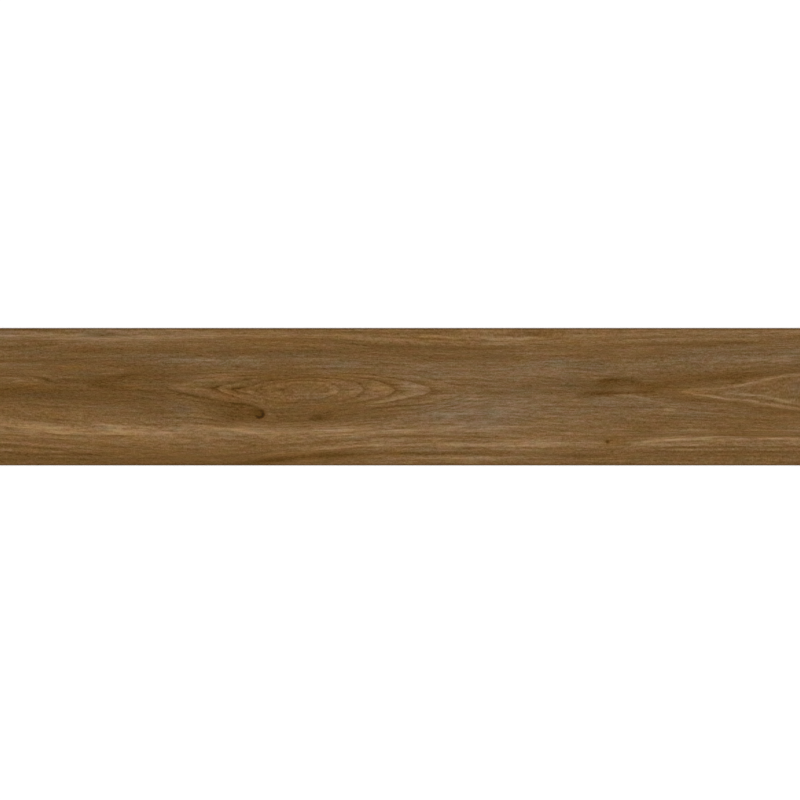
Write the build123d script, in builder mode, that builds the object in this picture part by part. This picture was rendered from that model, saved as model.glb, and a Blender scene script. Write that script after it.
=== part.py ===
"""Wood-look porcelain floor tile: one dry-pressed, fired and edge-ground plank.

The tile lies face up. X runs along the plank, Y across it, Z up through its thickness.
The origin is the middle of the back, on the plane of the keying ribs that the tile is bedded on.
"""

import os

from build123d import *

# Tile body, in millimetres
tile_length = 1200.0
tile_width = 200.0
tile_thickness = 9.0

# Arris ground along the four edges of the face, at 45 degrees
face_bevel = 0.6

# Keying relief pressed into the back: a lattice of flush ribs between shallow square cells
back_border = 10.0
rib_width = 3.0
cell_target = 20.0
cell_depth = 0.8
cell_draft = 45.0


def even_count(span):
    """Number of cells that fills a span, even so that a rib runs along the middle of the back."""
    pitch = cell_target + rib_width
    return max(2, 2 * round((span + rib_width) / (2 * pitch)))


# The field of cells inside the plain border, divided into equal cells
field_length = tile_length - 2 * back_border
field_width = tile_width - 2 * back_border
cells_along = even_count(field_length)
cells_across = even_count(field_width)
pitch_along = (field_length + rib_width) / cells_along
pitch_across = (field_width + rib_width) / cells_across

# One cell, with draft on its walls so that the tile leaves the press die
with BuildPart() as cell:
    with BuildSketch(Plane.XY):
        Rectangle(pitch_along - rib_width, pitch_across - rib_width)
    extrude(amount=cell_depth, taper=cell_draft)

with BuildPart() as plank_tile:
    # Ground slab, its back on the XY plane
    with BuildSketch(Plane.XY):
        Rectangle(tile_length, tile_width)
    extrude(amount=tile_thickness)

    # Bevel round the face
    face = plank_tile.faces().sort_by(Axis.Z)[-1]
    chamfer(face.edges(), length=face_bevel)

    # Keying relief
    with GridLocations(pitch_along, pitch_across, cells_along, cells_across):
        add(cell.part, mode=Mode.SUBTRACT)

plank_tile.part.label = "plank_tile"

os.makedirs("parts", exist_ok=True)
export_step(plank_tile.part, "parts/plank_tile.step")

print("cells", cells_along, "x", cells_across)
print("cell pitch", round(pitch_along, 2), "x", round(pitch_across, 2), "mm")
print("volume", round(plank_tile.part.volume), "mm3")
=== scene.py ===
"""Wood-look porcelain plank tile: the looks of the fired tile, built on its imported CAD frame.

The drawing of the grain is in millimetres on the face, x along the plank and y across it.
Its tones are steps of an 8-bit grey scale above or below the plank's mean brown.
Everything else is in metres.
"""

import math

import bpy
import numpy as np
from bpy.props import FloatProperty, FloatVectorProperty, IntProperty, PointerProperty
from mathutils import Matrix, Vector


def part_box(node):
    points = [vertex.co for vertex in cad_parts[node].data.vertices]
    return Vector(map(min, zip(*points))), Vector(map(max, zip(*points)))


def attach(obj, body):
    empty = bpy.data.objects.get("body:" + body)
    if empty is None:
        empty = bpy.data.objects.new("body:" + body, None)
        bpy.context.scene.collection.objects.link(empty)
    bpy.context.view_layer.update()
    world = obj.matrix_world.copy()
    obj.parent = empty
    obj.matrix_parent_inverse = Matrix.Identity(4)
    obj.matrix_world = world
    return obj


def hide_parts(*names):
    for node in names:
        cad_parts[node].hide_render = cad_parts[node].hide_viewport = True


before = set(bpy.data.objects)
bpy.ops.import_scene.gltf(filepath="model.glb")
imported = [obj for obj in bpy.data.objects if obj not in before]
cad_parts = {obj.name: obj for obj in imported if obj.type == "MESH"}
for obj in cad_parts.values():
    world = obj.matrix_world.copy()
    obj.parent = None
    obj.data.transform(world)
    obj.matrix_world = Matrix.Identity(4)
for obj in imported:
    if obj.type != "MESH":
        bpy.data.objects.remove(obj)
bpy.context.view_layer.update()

bl_info = {
    "name": "Wood-look plank tile",
    "version": (1, 0, 0),
    "blender": (4, 5, 0),
    "location": "View3D > Sidebar > Plank Tile",
    "description": "Builds a fired wood-look porcelain plank tile and the stage that it lies on",
    "category": "Object",
}

# Names in the CAD frame
TILE_NODE = "plank_tile"
TILE_BODY = "root"

# The finished piece
TILE_PIECE = "tile_as_fired"

# A millimetre, and the distance within which two places count as one
MM = 0.001
SAME_PLACE = 1e-5


# The CAD sizes that the fired tile repeats, read from the frame

def read_rows(items, name, width=1, kind=np.float32):
    """One value of each of a mesh's items, as an array with a row for each item."""
    values = np.empty(len(items) * width, kind)
    items.foreach_get(name, values)
    return values.reshape(-1, width) if width > 1 else values


def cad_lines(axis, height=None):
    """Sorted coordinates of the CAD tile's vertices along an axis, at one height or at all."""
    places = read_rows(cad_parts[TILE_NODE].data.vertices, "co", 3)
    if height is not None:
        places = places[np.abs(places[:, 2] - height) < SAME_PLACE]
    return np.unique(places[:, axis].round(6)).tolist()


TILE_LOW, TILE_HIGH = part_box(TILE_NODE)
LEVELS = cad_lines(2)
BACK_ALONG = cad_lines(0, LEVELS[0])
BACK_ACROSS = cad_lines(1, LEVELS[0])
CELL_FLOOR = cad_lines(0, LEVELS[1])


# The figure of the wood as drawn, and the painted shade along the long edges

# Streaks along the grain: tone, half width, then the points (x, y) that the streak runs through
STREAKS = (
    # Upper third
    (15, 4.5, ((-640, 89), (-560, 88), (-500, 87), (-420, 85), (-340, 87), (-280, 88.5), (-220, 89))),
    (8, 2.5, ((-280, 89), (-180, 89), (-100, 89), (-60, 86), (-20, 83), (30, 79))),
    (6, 2.0, ((-520, 94), (-440, 94), (-300, 95), (-260, 94))),
    (9, 3.5, ((-20, 93), (60, 88), (120, 85), (170, 84), (220, 86), (300, 88), (400, 91), (640, 93))),
    (12, 2.5, ((100, 85), (160, 84), (220, 85))),
    (9, 3.5, ((40, 80), (120, 77), (180, 77), (240, 80), (300, 81), (420, 84), (480, 85), (560, 83))),
    (-8, 3.6, ((-280, 80), (-180, 82), (-120, 81), (-60, 77), (0, 73), (60, 70), (120, 70), (200, 71))),
    (-8, 3.0, ((320, 74), (360, 76), (440, 78), (520, 79), (640, 80))),
    (-7, 6.0, ((-540, 69), (-300, 68), (-200, 66), (-60, 65), (60, 67))),
    (-8, 5.0, ((-20, 57), (60, 57), (130, 58), (220, 58))),
    (-12, 3.0, ((-640, 51), (-540, 52), (-490, 54), (-420, 57))),
    (9, 2.5, ((-640, 46), (-540, 48), (-490, 47))),
    (-6, 3.0, ((-640, 71), (-560, 72), (-500, 74))),
    (-9, 1.3, ((0, 89), (40, 85), (95, 82))),
    (-9, 1.3, ((60, 82.5), (110, 80.5), (180, 79.8), (230, 80), (300, 82.5), (380, 86.5), (440, 88),
               (500, 89))),
    (-8, 1.3, ((-465, 90), (-430, 90), (-390, 90))),
    (-14, 1.4, ((-640, 96), (-560, 97), (-500, 98))),
    (5, 1.5, ((-700, 96.4), (0, 96.6), (700, 96.4))),
    # Dark heart on the left, running down to the knot
    (-9, 22.0, ((-640, 6), (-480, 14), (-420, 16), (-360, 14), (-300, 6))),
    (-7, 6.0, ((-640, 6), (-560, 4), (-480, 0), (-400, -4), (-320, -6))),
    (-10, 11.0, ((-310, -10), (-260, -18), (-215, -26), (-160, -26), (-100, -27), (-40, -20))),
    (-6, 6.0, ((-480, 18), (-440, 23), (-400, 31), (-350, 35), (-300, 33), (-250, 32))),
    (-9, 6.0, ((-335, 3), (-290, -5), (-250, -12), (-195, -16))),
    (-9, 1.6, ((-600, 34), (-545, 31), (-505, 22))),
    (-8, 1.6, ((-600, 10), (-550, 13), (-505, 21))),
    (10, 1.6, ((-556, 31), (-538, 28), (-528, 23), (-515, 18), (-500, 15))),
    (-12, 1.6, ((-534, 30), (-520, 27), (-510, 23), (-494, 20))),
    (8, 1.6, ((-530, 33), (-515, 31), (-507, 26), (-492, 23))),
    (-7, 1.5, ((-504, 26), (-485, 24), (-475, 21), (-456, 19))),
    (7, 1.5, ((-505, 28), (-485, 29), (-464, 26))),
    (7, 1.5, ((-482, 20), (-468, 17), (-450, 14))),
    (-8, 1.8, ((-465, 19), (-445, 17), (-430, 14), (-415, 11), (-392, 9))),
    (7, 1.6, ((-446, 31), (-425, 34), (-406, 33))),
    (-8, 2.0, ((-420, 24), (-405, 28), (-392, 32), (-374, 34))),
    (-7, 2.0, ((-470, 20), (-430, 17), (-395, 12.5), (-370, 8), (-345, 4), (-310, 0))),
    # Flanks of the cathedral
    (-7, 2.2, ((-360, 2), (-325, 7), (-300, 2), (-280, -1), (-260, -4), (-230, -7))),
    (-17, 2.0, ((-256, -9), (-240, -10), (-228, -10.5), (-214, -13.5), (-206, -17.5), (-196, -22))),
    (-10, 3.0, ((-80, -24), (-30, -17), (15, -9), (45, 0), (65, 9))),
    (10, 3.0, ((-60, -12), (-40, -10), (-20, -6), (0, -2), (15, 2), (36, 6))),
    # Pale lower band
    (17, 8.0, ((-640, -38), (-540, -44), (-480, -50), (-420, -49), (-360, -51), (-300, -49),
               (-240, -51), (-180, -54), (-120, -52), (-60, -50), (0, -49), (50, -48), (110, -45),
               (180, -44))),
    (6, 16.0, ((-640, -48), (-300, -55), (0, -56), (300, -58), (640, -62))),
    (8, 1.8, ((-265, -44), (-230, -50), (-200, -56))),
    (12, 4.0, ((-170, -81), (-120, -76), (-60, -70), (0, -67), (60, -69), (120, -70), (180, -68),
               (240, -68), (330, -67))),
    (16, 2.7, ((325, -68.5), (350, -66), (370, -63), (400, -61), (440, -60), (500, -61), (580, -61.6),
               (640, -62))),
    (6, 5.0, ((320, -68), (360, -67), (420, -66), (490, -65))),
    (14, 2.0, ((330, -70.5), (360, -70.2), (420, -69.7), (480, -69), (540, -69), (700, -69.5))),
    (-9, 1.4, ((330, -56.5), (390, -56.5), (430, -54.5), (460, -54.5), (500, -57), (560, -57.6),
               (700, -58))),
    (-7, 1.3, ((480, -64.5), (540, -64.8), (700, -65))),
    (18, 1.6, ((-60, -65), (-30, -63), (0, -63), (20, -64))),
    (-8, 1.2, ((-50, -68), (-20, -66.5), (20, -66.5), (50, -67))),
    (-12, 1.8, ((-520, -54), (-470, -56), (-430, -57), (-370, -57.5))),
    (15, 1.8, ((-90, -72.6), (-60, -70.8), (-20, -71.5), (50, -70.4), (90, -70.4), (140, -71.2),
               (200, -71), (260, -70.5))),
    (-9, 1.6, ((-20, -57), (20, -57), (60, -57), (85, -58))),
    (-10, 1.6, ((-25, -81), (0, -82), (25, -83), (60, -83), (110, -83))),
    # Dark foot
    (-13, 1.4, ((-660, -67), (-582, -70), (-540, -72.4), (-500, -76.5), (-470, -82), (-440, -85),
                (-400, -88))),
    (-9, 1.8, ((-660, -79), (-582, -80.5), (-540, -84), (-490, -84), (-450, -85), (-400, -91))),
    (-6, 1.5, ((-660, -89), (-560, -90.5), (-480, -90.5), (-400, -94))),
    (8, 1.2, ((-660, -66), (-580, -66.8), (-520, -70), (-470, -73.5), (-420, -76))),
    (7, 1.4, ((-660, -75), (-582, -76), (-540, -79.8), (-500, -80), (-440, -79))),
    (7, 1.3, ((-660, -86), (-560, -87.8), (-480, -87.3), (-380, -88))),
    (-7, 1.6, ((-310, -89), (-250, -86), (-180, -80), (-95, -75))),
    (-9, 9.0, ((-640, -90), (-400, -92), (-200, -93), (-120, -91))),
    (-13, 3.5, ((-270, -99), (-200, -94.5), (-160, -90), (-130, -87), (-100, -85), (-60, -84),
                (0, -82.5), (80, -83), (200, -84.5), (330, -87))),
    (10, 1.4, ((-230, -88), (-200, -84.5), (-175, -81), (-150, -78.5), (-130, -76.5), (-100, -75.5),
               (-80, -74.3), (-60, -72), (-30, -70.5))),
    (6, 1.3, ((-460, -65), (-420, -66.5), (-370, -68.3), (-330, -66), (-290, -62.5), (-250, -60))),
    (9, 4.0, ((-30, -89.5), (40, -89.5), (100, -90), (180, -93))),
    (-5, 6.0, ((240, -82), (440, -81), (640, -81))),
    (-12, 1.6, ((350, -73.2), (420, -73.2), (500, -73), (640, -72.5))),
    (12, 1.4, ((340, -77), (420, -77), (500, -77), (700, -77.3))),
    (-8, 1.6, ((330, -80), (450, -80), (700, -80))),
    (-6, 1.5, ((440, -86), (520, -86), (700, -86))),
    # Twin dark streaks and the fork on the right
    (-14, 4.0, ((280, 22), (310, 25), (356, 22))),
    (-12, 1.4, ((296, 4.5), (330, 5.5), (380, 7.5))),
    (26, 1.5, ((304, 2.5), (322, 1.5), (340, 0.5), (352, -1.5), (372, -4))),
    (-11, 9.0, ((200, 17), (300, 15), (360, 14), (400, 22), (460, 28), (500, 31), (540, 36),
                (640, 42))),
    (-15, 2.8, ((250, 3), (285, 3.5), (326, 5))),
    (20, 1.6, ((398, 9), (412, 7.5), (425, 5), (440, 3), (454, 0.5), (470, -3), (500, -5), (515, -6.5),
               (530, -9.2), (546, -12.5), (560, -15), (582, -17.5), (640, -25))),
    (8, 1.5, ((455, 0), (470, -3), (500, -5), (530, -10))),
    (12, 1.6, ((408, 8.5), (420, 6.5), (430, 4.5), (450, 1.5), (475, -3))),
    (20, 1.7, ((455, 5), (473, 5), (488, 4.4), (500, 3.8), (518, 1.7), (533, 0.3), (545, -2.5),
               (560, -7), (582, -11.5), (640, -20))),
    (-10, 1.2, ((475, 0), (490, -0.5), (510, -1.4), (524, -4.1), (539, -5.8), (553, -9.5), (582, -14.5),
                (640, -23))),
    (18, 1.7, ((400, 7), (430, 10), (445, 11.5), (480, 13.5), (515, 20))),
    (18, 2.5, ((460, 11.5), (480, 14), (495, 15.8), (510, 19.5), (520, 21.6), (532, 25), (546, 28),
               (567, 31), (582, 32.5), (640, 37))),
    (-8, 2.8, ((410, -5), (450, -6), (480, -9), (520, -14.5), (640, -29))),
)

# A streak fades in and out over this share of its length, but not over more than LONGEST_FADE
FADE_SHARE = 0.3
LONGEST_FADE = 70.0

# Spots of one tone: tone, middle x and y, half length, half height
SPOTS = (
    # Broad soft patches
    (5, -265, 54, 75, 8),
    (7, 140, 44, 170, 9),
    (4, 110, 33, 100, 9),
    (4, 140, -7, 110, 9),
    (4, 550, -8, 30, 8),
    (-4, -150, -11, 120, 6),
    (-3, -140, 37, 50, 6),
    (-4, 396, -34, 30, 8),
    (3, 60, -94, 560, 4),
    (4, -200, 86, 260, 9),
    (5, 70, -85, 120, 8),
    (-6, -225, 13, 45, 9),
    (8, 110, -25, 85, 24),
    (5, 320, -15, 90, 12),
    (4, 425, -20, 30, 12),
    (6, 530, 55, 95, 9),
    (3, 330, 58, 40, 8),
    (7, 185, -12, 42, 15),
    (5, 230, -34, 60, 10),
    (8, 180, -82, 50, 8),
    (4, 70, -84, 60, 7),
    (5, 40, 84, 60, 6),
    (4, 185, 82, 30, 6),
    (3, 265, 30, 40, 14),
    (-6, 25, -59, 90, 6),
    (-5, -185, 24, 45, 14),
    (-4, -108, -78, 30, 6),
    (8, -423, 74.5, 48, 3),
    (6, -70, 49, 14, 4),
    # Small patches beside the heart and the fork
    (2, -450, 43, 60, 4),
    (5, -386, 14, 32, 5),
    (2, -370, 33, 24, 4),
    (-5, 505, -40, 44, 8),
    (-4, 460, 28, 60, 4),
    # Small cathedral at the left end
    (17, -555, 24.2, 10, 3),
    (4, -572, 29, 14, 7),
    (6, -530, 24, 14, 7),
    (-6, -515, 43, 20, 4),
    (-4, -400, 30, 90, 30),
    (5, -540, 18, 14, 3),
    (3, -530, 12, 14, 4),
    (8, -458, 27, 10, 2),
    (8, -406, 37, 4, 3),
    (-7, -514, 25, 7, 2.2),
    # Cathedral: pale middle, tips and crescents
    (12, -120, 3.5, 26, 2.0),
    (8, -96, 7, 7, 4),
    (-6, -117, 10, 4, 4),
    (4, -117, 19, 5, 2.5),
    (-6, -135, 26, 32, 4),
    (7, -72, 5, 6, 3.5),
    (-6, -120, -6, 5, 2),
    (12, -107, 11.5, 8, 2.5),
    (5, -36, 10, 14, 6),
    (14, 24, 11, 16, 6),
    (8, -1, -35, 7, 2.5),
    (10, -320, 15, 11, 3.5),
    (6, -293, 12, 8, 3),
    (9, -278, 27, 32, 3.5),
    (-7, -268, 12, 6, 4),
    (7, -254, 10, 7, 6),
    (-9, -236, 12, 12, 3.5),
    (6, -217, 8, 6, 4),
    (-16, -235, 44, 8, 1.6),
    (-10, -221, 25, 6, 5),
    (-9, -187, 26, 9, 3.5),
    (-6, -198, 7, 4, 4),
    (-7, -168, 18, 5, 3),
    (6, 65, 22, 14, 10),
    (6, 105, 4, 10, 8),
    (5, 75, -28, 10, 8),
    (6, 165, -18, 14, 5),
    # Knot, with its hook and stain
    (-5, -232, -27, 28, 9),
    (-15, -205, -24, 7.5, 6.5),
    (-7, -215, -23, 4, 2.5),
    (-8, -208, -20, 9, 2),
    (9, -190, -26, 5, 8),
    (-7, -250, -32, 25, 9),
    (-16, -119, -30.5, 12, 4.5),
    (-6, -103, -27, 5, 5),
    (-6, -68, -25, 7, 4),
    (-6, -38, -30, 7, 3),
    # Breaks and bright lines of the lower band, its pin knot, and some patches above it
    (8, -420, -45, 20, 6),
    (5, -400, -38, 40, 3),
    (-4, -355, -22, 30, 8),
    (-7, -570, -46, 14, 4),
    (-4, -525, -42, 30, 4),
    (-5, -430, -26, 24, 5),
    (10, -375, -54, 36, 2.5),
    (-8, -330, -51, 30, 1.5),
    (-8, -195, -54, 38, 7),
    (-6, -256, -56, 12, 3),
    (-7, 112, -40, 26, 5),
    (-5, -545, -82, 40, 4),
    (9, -100, -51, 20, 6),
    (-8, 35, -48, 22, 5),
    (-5, -30, -57, 14, 4),
    (-9, -100, -88, 36, 12),
    (6, 140, -73, 10, 6),
    (5, 150, 80, 30, 8),
    (4, -290, 56, 14, 8),
    (-6, -245, 58, 14, 4),
    (8, -455, -44, 28, 2.2),
    (9, -490, -51, 34, 2.5),
    (7, -380, -54, 24, 2.2),
    (9, -315, -50, 28, 2.5),
    (7, -265, -47, 18, 2.2),
    (-10, -350, -45, 13, 1.6),
    (-10, -305, -50, 8, 1.4),
    (9, 95, -3, 18, 1.3),
    (18, 158, -44.5, 30, 1.5),
    (-10, 98, -48, 32, 3.5),
    (8, 92, -42.5, 12, 2.5),
    (8, 10, -50, 14, 1.5),
    (13, 247, -53.5, 4.5, 2),
    (-8, 346, -49, 8, 3),
    (5, 363, -67, 12, 3),
    (-42, 302, -66, 3.2, 2.4),
    (-6, 310, -62, 20, 6),
    (-9, 362, -54, 26, 6),
    (-9, 505, -54, 65, 5),
    (8, 590, -45, 22, 5),
    # Cores of the twin dark streaks, and the root of the fork
    (-12, 307, 24.5, 13, 1.8),
    (-9, 289, 4.5, 13, 2.2),
    (7, 332, 12, 18, 3),
    (4, 445, 7, 24, 4),
    (-9, 415, -4, 30, 5),
    (-6, 325, -16, 20, 3),
    (-5, 373, -21, 16, 3),
    (-5, 435, -13, 20, 3),
    (5, 395, -18, 8, 4),
    (-8, 365, 8, 14, 4),
    (-4, 347, 20, 9, 5),
    (10, 390, -18, 7, 3),
    (7, 384, -4, 6, 2),
    (-7, 297, 14, 14, 8),
    (-12, 492, 22, 9, 4),
    (10, 483, 5, 9, 1.8),
    (7, 522, 13, 20, 4),
    (-5, 540, -25, 40, 5),
    (4, 465, 53, 18, 6),
    (6, 560, 55, 10, 8),
    (4, 560, 78, 30, 5),
    (-6, 490, 79, 34, 1.8),
    # Thin lines of the upper third
    (-7, 80, 90, 45, 1.5),
    (-11, 105, 44.5, 45, 1.6),
    (-7, 205, 47.5, 40, 1.6),
    (8, 405, 52, 25, 1.6),
    (-6, 475, 52.5, 25, 2),
    (-7, 435, 41, 50, 1.8),
    (10, 580, 80, 25, 3),
    (12, -580, 93, 25, 2.5),
    (-6, -500, 92.5, 40, 2),
    (-7, -545, 84, 45, 2),
    (-8, -358, 78, 28, 2),
    (7, -170, 73.5, 50, 1.8),
    (-7, -190, 54, 50, 1.8),
    (-6, -90, 57, 40, 1.6),
    (-8, -165, 46.5, 30, 3),
    (-6, -315, 85.5, 28, 1.5),
    (-7, -405, 47.5, 28, 2),
    # Thin lines beside the heart, the cathedral and the fork
    (-11, 130, -8.5, 50, 2),
    (-7, 165, 3.5, 30, 2.5),
    (7, 365, -9, 30, 4),
    (-8, 340, -17.5, 35, 2),
    (-8, 445, -17, 25, 1.8),
    (-6, 400, 7.5, 18, 2),
    (9, 487, 7.6, 10, 2.2),
    (5, 545, 42, 40, 6),
    (4, 480, 40, 34, 6),
    (-10, 447, 3.8, 3, 1.2),
    (-10, 461, 4.8, 4, 1.5),
    (-10, 484, 11.2, 13, 1.2),
    (-9, -165, -33, 35, 1.6),
    (-9, -20, -24, 28, 1.6),
    (6, 570, 12, 25, 3),
    (7, -580, 26.5, 12, 3),
    (-7, -495, 34.5, 25, 1.8),
    (4, -420, 1, 60, 5),
    (4, -400, -5, 45, 3),
    (5, -405, 21, 25, 4),
    (-6, -295, 4, 18, 4),
    (-5, -190, 3, 18, 3),
    (6, -530, -25, 40, 2.5),
    (-6, -130, 30, 35, 1.8),
    (-6, -110, 24, 40, 1.8),
    (-6, -335, 27, 28, 2.5),
    (-5, -36, 11, 22, 3),
    (-6, -90, -5, 35, 1.8),
    (7, -15, -28, 30, 2),
    (8, 25, -3.5, 25, 2.5),
    (-7, 20, -16.5, 30, 1.6),
    (6, 305, 33, 40, 2),
    (5, 405, 25, 30, 3),
    # Thin lines of the lower band
    (-8, -25, -43, 40, 2),
    (8, -100, -58, 36, 1.8),
    (-8, -110, -62.5, 40, 1.8),
    (-7, -100, -72, 25, 1.8),
    (6, -25, -78, 40, 2),
    (-9, 115, -55.5, 40, 1.6),
    (-8, 155, -36, 35, 1.6),
    (7, 225, -40.5, 35, 2),
    (-6, 280, -46, 45, 2.5),
    (-7, 290, -59, 60, 3),
    (-12, 500, -66, 38, 2),
    (-8, 380, -66, 30, 1.8),
    (9, 361, -69.5, 16, 2.2),
    (7, 420, -62.5, 45, 1.5),
    (6, 545, -61, 40, 1.5),
    (-8, -300, -51, 25, 1.6),
    (-8, -265, -56, 45, 2.5),
    (-8, -55, -59.5, 22, 1.8),
    (8, -450, -64.5, 35, 2),
    (7, -345, -85, 30, 1.6),
    (-7, -180, -92, 35, 2.5),
    (-8, 10, -47.2, 25, 1.5),
    (6, 45, -50.5, 45, 1.5),
    (-10, 25, -57.3, 50, 1.8),
    (7, 50, -63.3, 45, 1.6),
    (8, 50, -76.8, 45, 1.4),
    (8, 170, -62.8, 60, 2.2),
    (5, 170, -76.5, 60, 4),
    (-9, 40, -73.5, 45, 1.8),
    (8, -25, -90.5, 25, 1.5),
    (5, 530, -68.5, 40, 1.3),
    (5, 530, -53, 40, 1.5),
    # Single dark flecks
    (-16, -348, -46, 6, 1),
    (-14, -310, -50, 8, 0.9),
    (-12, -386, -44.2, 4, 1),
    (-16, -370, -82.6, 4, 1.1),
    (-12, -353, -83, 3, 1),
    (-10, -396, -79.3, 4, 1),
)

# Stains of one tint, grey violet below zero and golden above:
# warmth, middle x and y, half length, half height
STAINS = (
    # Grey violet
    (-1.2, 110, -26, 75, 20),
    (-0.5, 215, -20, 50, 18),
    (-0.9, 265, -21, 16, 7),
    (-0.7, 150, 15, 50, 40),
    (-1.0, 35, 38, 40, 12),
    (-1.2, 224, 44, 42, 12),
    (-0.6, 130, 45, 20, 8),
    (-1.3, 285, 46, 20, 9),
    (-0.7, 365, 48, 40, 10),
    (-0.9, 430, 58, 40, 14),
    (-0.6, 445, 41, 42, 6),
    (-0.6, 586, 42, 16, 6),
    (-1.0, 520, 60, 70, 14),
    (-1.0, 345, -11, 55, 11),
    (-0.6, 275, 12, 50, 13),
    (-0.4, 210, 14, 20, 6),
    (-0.7, 430, -19, 34, 9),
    (-0.9, -250, 51, 80, 9),
    (-1.0, -375, 57, 60, 7),
    (-0.8, -150, 61, 50, 5),
    (-0.7, -97, 46, 20, 6),
    (-0.8, -60, 48, 26, 8),
    (-1.2, -430, 92, 36, 8),
    (-1.1, -574, 91, 24, 7),
    (-0.7, -530, 65, 36, 4),
    (-0.9, -510, 2, 46, 4),
    (-0.8, -460, 32, 24, 4),
    (-1.1, -318, -20, 16, 10),
    (-0.7, -430, -16, 40, 4),
    (-0.6, -350, 18, 16, 5),
    (-0.5, -318, -47, 26, 5),
    (-0.7, -430, -46, 16, 4),
    (-0.6, -345, -35, 40, 12),
    (-0.7, -306, 54, 22, 8),
    (-0.5, -310, -15, 46, 7),
    (-0.6, -425, -27, 16, 7),
    (-0.5, -470, -6, 20, 6),
    (-0.6, -374, 92, 16, 6),
    (-0.8, -116, -3, 14, 4),
    (-0.4, -119, -31, 14, 5),
    (-1.3, 580, 14, 18, 12),
    (-0.8, 45, -78, 36, 4),
    (-0.7, -560, 46, 24, 4),
    (-0.6, -535, 2, 16, 4),
    (-0.5, -340, 42, 20, 8),
    (-0.4, -350, 0, 40, 14),
    (-0.8, 50, -25, 18, 12),
    (-0.7, 90, 0, 14, 8),
    (-0.3, 16, 20, 14, 6),
    (-0.6, 177, 5, 18, 8),
    (-0.6, 86, 35, 14, 7),
    (-0.6, 80, -12, 22, 6),
    (-0.5, 135, -77, 22, 4),
    (-0.5, 115, -46, 18, 5),
    (-0.6, -90, 45, 16, 6),
    (-0.5, -60, -60, 26, 3),
    (-0.4, -115, 55, 30, 12),
    (-0.9, 245, 22, 16, 12),
    (-0.8, 290, -8, 16, 10),
    (-0.7, 335, 36, 40, 9),
    (-0.6, 320, -36, 14, 10),
    (-0.6, 230, 52, 16, 5),
    (-0.5, 480, 70, 20, 6),
    (-0.8, 572, 62, 14, 14),
    (-0.5, 480, 10, 16, 8),
    (-0.5, 440, -26, 30, 4),
    (-0.5, 250, -38, 30, 8),
    (-0.4, -265, -64, 50, 14),
    (-0.4, -312, 26, 14, 7),
    (-0.5, -20, -37, 40, 7),
    (-0.5, -515, 91, 26, 6),
    (-0.4, -510, 52, 26, 6),
    # Golden
    (0.4, -350, -70, 300, 30),
    (0.5, -545, -36, 36, 9),
    (0.4, -545, 10, 36, 9),
    (0.4, -180, 12, 46, 10),
    (0.4, -80, 84, 70, 9),
    (0.5, -120, -82, 55, 9),
    (0.6, -500, -28, 22, 4),
    (0.6, -475, -50, 18, 4),
    (0.2, -400, -25, 260, 60),
    (0.7, -65, -8, 16, 7),
    (0.5, -120, 14, 16, 4),
    (0.4, -170, -10, 30, 8),
    (0.6, -122, 78, 10, 6),
    (0.7, 140, 3, 13, 7),
    (0.6, 215, -32, 22, 5),
    (0.5, 212, -56, 26, 8),
    (0.5, 500, -49, 40, 10),
    (0.6, 178, 54, 14, 7),
    (0.6, 255, 78, 16, 3),
    (0.6, 380, 51, 16, 4),
    (0.6, 555, 6, 12, 10),
    (0.8, -130, 28, 80, 7),
    (0.6, -30, 13, 18, 10),
    (0.5, -68, 21, 18, 5),
    (0.5, -62, -20, 16, 7),
    (0.7, -222, 13, 22, 6),
    (0.7, -255, 0, 18, 16),
    (0.9, -395, 14, 22, 4),
    (1.0, -540, 18, 16, 5),
    (0.9, -475, 42, 22, 4),
    (0.6, -190, 82, 60, 12),
    (0.7, 55, 86, 60, 9),
    (0.5, 235, 86, 60, 10),
    (0.5, 360, 77, 24, 3),
    (0.8, 370, 13, 36, 5),
    (0.8, 430, 4, 34, 6),
    (0.8, 485, 29, 34, 6),
    (0.7, 320, -66, 24, 12),
    (0.7, -115, -16, 22, 5),
    (1.0, -4, -83, 8, 5),
    (0.7, 575, -25, 16, 6),
)

# Knot: its middle, the radius and the flattening of its hook, and the side on which the hook is closed.
# The hook begins at the first of two distances from its line, or of two turns towards its closed side,
# and is full at the second.
KNOT_PLACE = (-204.6, -25.6, 0.0)
KNOT_RADIUS = 4.6
KNOT_FLATTENING = (0.85, 1.0, 0.0)
KNOT_CLOSED_SIDE = (0.75, -0.66, 0.0)
KNOT_LINE = (2.8, 0.4)
KNOT_TURN = (-0.7, 0.3)

# Painted shade: a dark line along both long edges of the face, beside the bevel: tone, how far it reaches
# in
PAINTED_EDGE_SHADE = (-24.0, 1.9)

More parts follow.
